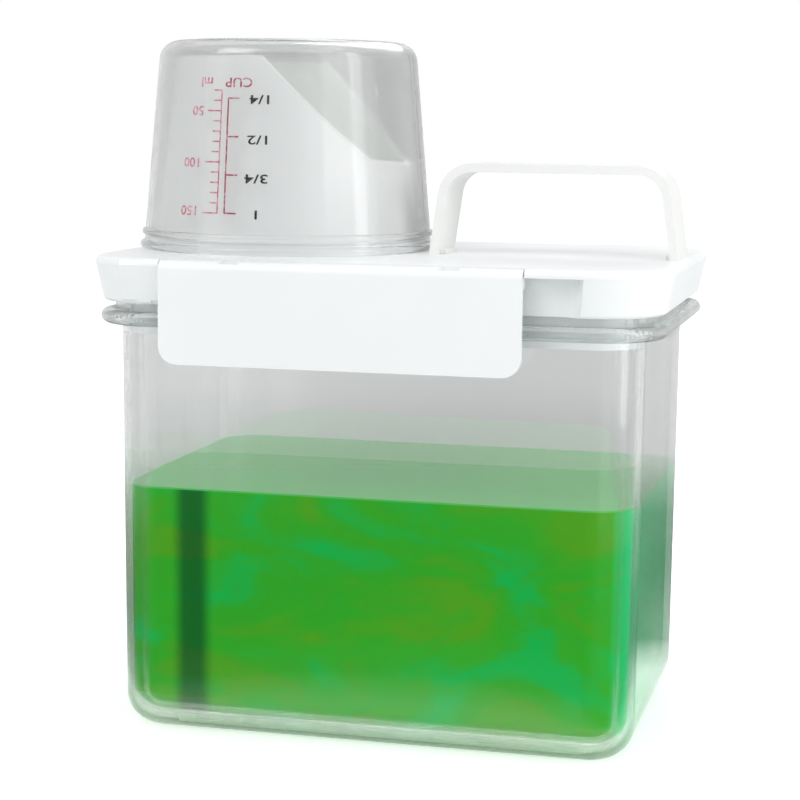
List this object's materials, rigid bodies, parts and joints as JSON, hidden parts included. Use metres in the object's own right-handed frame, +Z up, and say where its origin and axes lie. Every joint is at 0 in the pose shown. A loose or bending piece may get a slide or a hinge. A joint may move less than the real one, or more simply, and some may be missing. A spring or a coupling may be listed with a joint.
{
  "type": "laundry detergent dispenser",
  "caption": "Clear rectangular jar of liquid detergent with a white latched lid, a pouring spout under an upturned measuring cup, and a strap handle.",
  "frame": {"origin": "centre of the jar's underside, on the surface that it stands on", "axes": "+X along the jar towards the handle's end, +Y towards the back, +Z up"},
  "size_m": [0.1604, 0.1182, 0.192],
  "materials": {
    "jar_clear": "clear and polished",
    "cup_clear": "clear with a faint grey tint, glossy, with a printed scale",
    "detergent_green": "clear green liquid",
    "lid_white": "white moulded plastic, satin gloss",
    "handle_white": "slightly warm white moulded plastic, satin",
    "spout_white": "milky white moulded plastic",
    "seal_silicone": "translucent white silicone"
  },
  "bodies": {
    "jar": {"container": "jar_clear", "detergent": "detergent_green", "lid": "lid_white", "lid_seal": "seal_silicone", "pouring_spout": "spout_white", "handle": "handle_white"},
    "cup": {"measuring_cup": "cup_clear"},
    "front_clip": {"front_latch": "lid_white"},
    "rear_clip": {"rear_latch": "lid_white"}
  },
  "joints": [
    {"name": "cup_lift", "type": "slide", "parent": "jar", "child": "cup", "axis": [0, 0, 1], "range_m": [0, 0.065]},
    {"name": "front_latch_hinge", "type": "hinge", "parent": "jar", "child": "front_clip", "pos_m": [-0.0059, -0.0565, 0.1299], "axis": [1, 0, 0], "range_deg": [-100, 0]},
    {"name": "rear_latch_hinge", "type": "hinge", "parent": "jar", "child": "rear_clip", "pos_m": [-0.0059, 0.0565, 0.1299], "axis": [1, 0, 0], "range_deg": [0, 100]}
  ]
}
